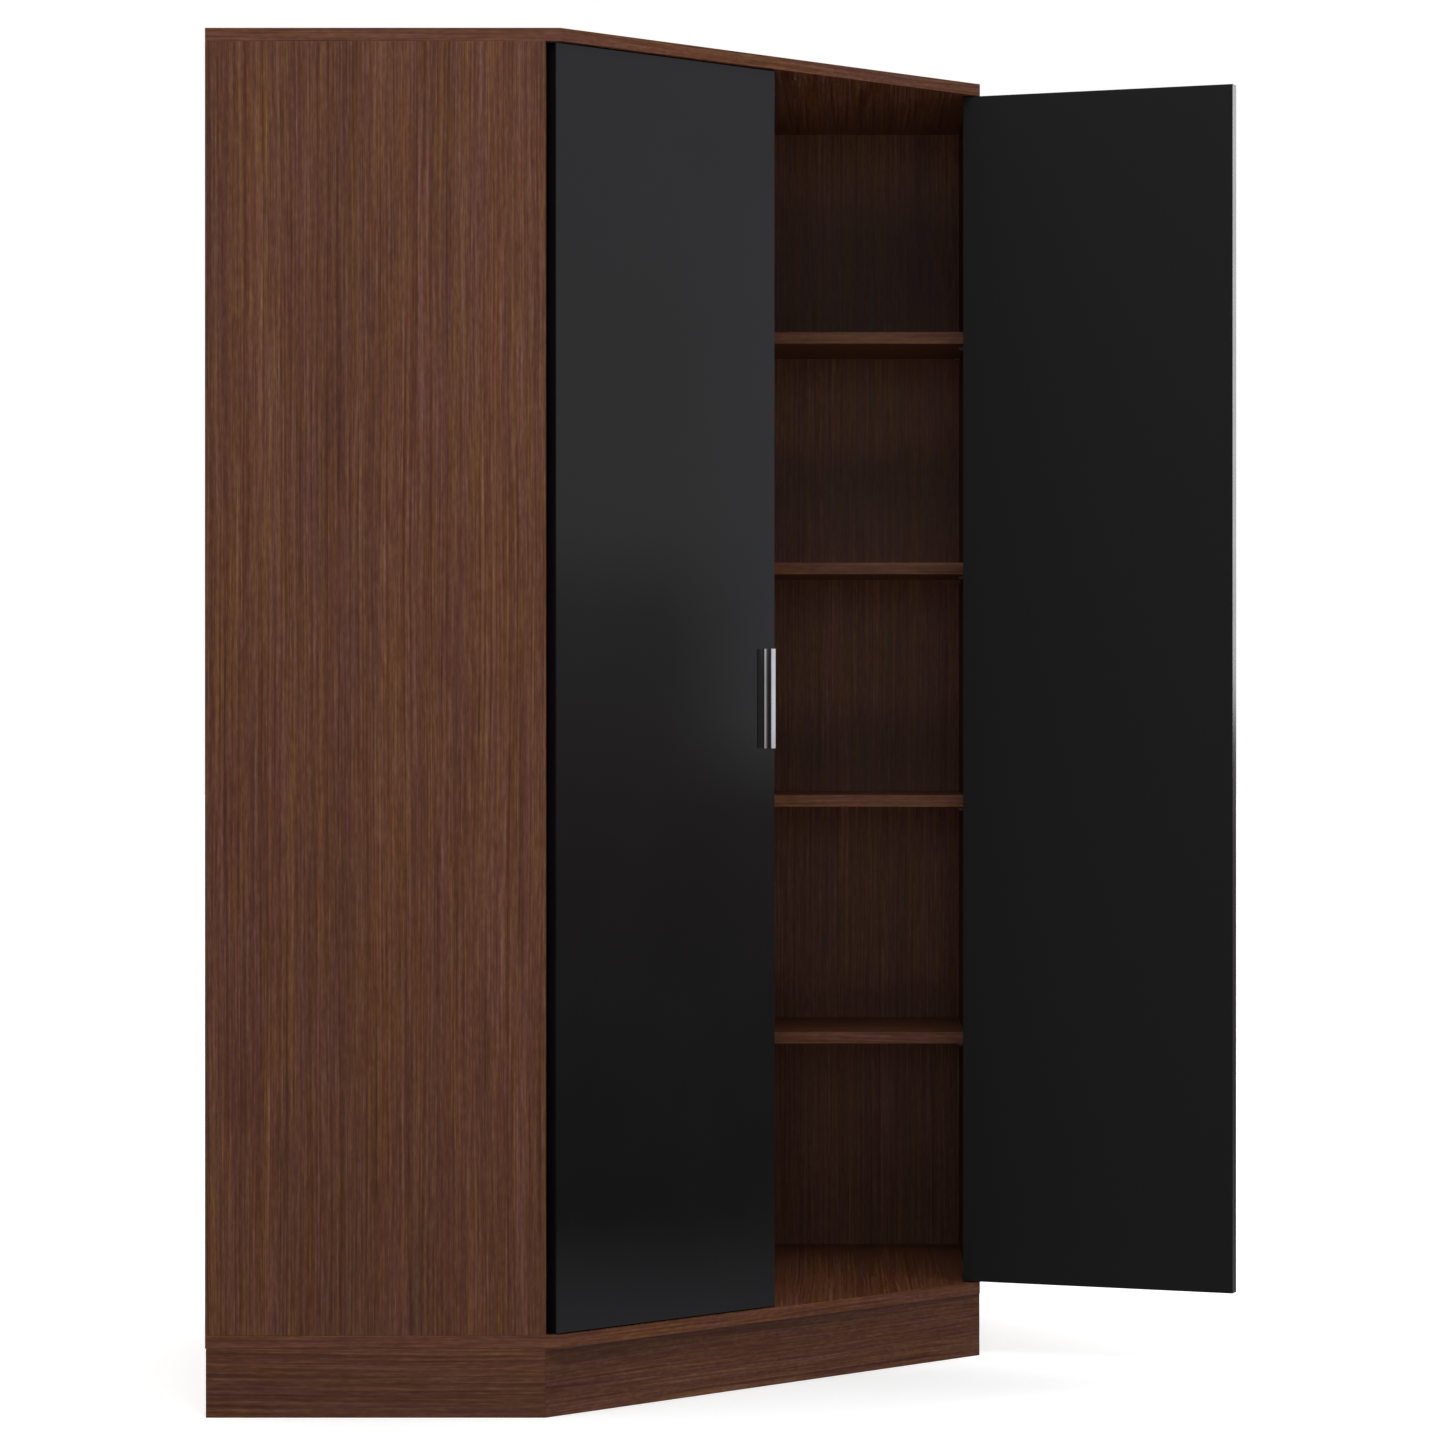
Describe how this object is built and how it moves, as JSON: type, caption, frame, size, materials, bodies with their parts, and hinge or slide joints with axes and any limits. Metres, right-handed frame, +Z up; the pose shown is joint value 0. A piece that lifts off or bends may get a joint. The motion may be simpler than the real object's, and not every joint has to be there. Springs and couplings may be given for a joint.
{
  "type": "corner wardrobe",
  "caption": "Corner wardrobe with a diagonal front: gloss doors that swing on pivot pins, a hanging rail on one side, shelves on the other and a recessed plinth.",
  "frame": {"origin": "the rear corner of the plan at floor level, where the two wall planes and the floor meet", "axes": "+Z up, +X along the right-hand wall, -Y along the left-hand wall, so the diagonal front faces +X and -Y"},
  "size_m": [1.4489, 1.078, 1.9],
  "materials": {
    "walnut_board": "walnut foil with a fine straight grain, satin",
    "walnut_back": "walnut foil on the inner face, bare hardboard outside",
    "timber": "planed softwood, bare",
    "beech": "fluted beech, bare",
    "black_board": "matt black foil on board",
    "black_gloss": "high gloss, polished",
    "chrome": "polished chrome",
    "zinc_steel": "bright zinc plate",
    "brown_steel": "brown lacquer on a steel disc",
    "magnet": "nickel plate",
    "black_plastic": "moulded nylon",
    "brown_plastic": "moulded plastic"
  },
  "bodies": {
    "carcass": {"top_panel": "walnut_board", "bottom_panel": "walnut_board", "left_side_panel": "walnut_board", "right_side_panel": "walnut_board", "divider_panel": "walnut_board", "shelf_1": "walnut_board", "shelf_2": "walnut_board", "shelf_3": "walnut_board", "shelf_4": "walnut_board", "plinth_front": "walnut_board", "plinth_left": "walnut_board", "plinth_right": "walnut_board", "corner_post": "walnut_board", "left_back_panel": "walnut_back", "right_back_panel": "walnut_back", "plinth_blocks": "timber", "plinth_rear_left": "timber", "plinth_rear_right": "timber", "dowels": "beech", "hanging_rail": "chrome", "rail_socket": "chrome", "rail_bracket": "chrome", "cam_bolts": "zinc_steel", "cam_locks": "zinc_steel", "back_nails": "zinc_steel", "plinth_screws": "zinc_steel", "rail_screws": "zinc_steel", "wall_brackets": "zinc_steel", "wall_bracket_screws": "zinc_steel", "pivot_bushes": "black_plastic", "cam_caps": "brown_plastic", "door_stops": "brown_plastic", "shelf_pins": "brown_plastic", "catch_strikes": "brown_steel"},
    "left_door": {"left_door_board": "black_board", "left_door_facing": "black_gloss", "left_door_magnet": "magnet", "left_handle": "chrome", "left_handle_screw_caps": "black_plastic", "left_handle_screws": "zinc_steel", "left_pivot_plates": "zinc_steel", "left_pivot_screws": "zinc_steel"},
    "right_door": {"right_door_board": "black_board", "right_door_facing": "black_gloss", "right_door_magnet": "magnet", "right_handle": "chrome", "right_handle_screw_caps": "black_plastic", "right_handle_screws": "zinc_steel", "right_pivot_plates": "zinc_steel", "right_pivot_screws": "zinc_steel"}
  },
  "joints": [
    {"name": "left_door_swing", "type": "hinge", "parent": "carcass", "child": "left_door", "pos_m": [0.47978, -1.06301, 0.114], "axis": [0, 0, -1], "range_deg": [0, 114]},
    {"name": "right_door_swing", "type": "hinge", "parent": "carcass", "child": "right_door", "pos_m": [1.06301, -0.47978, 0.114], "axis": [0, 0, 1], "range_deg": [-114, 0]}
  ]
}
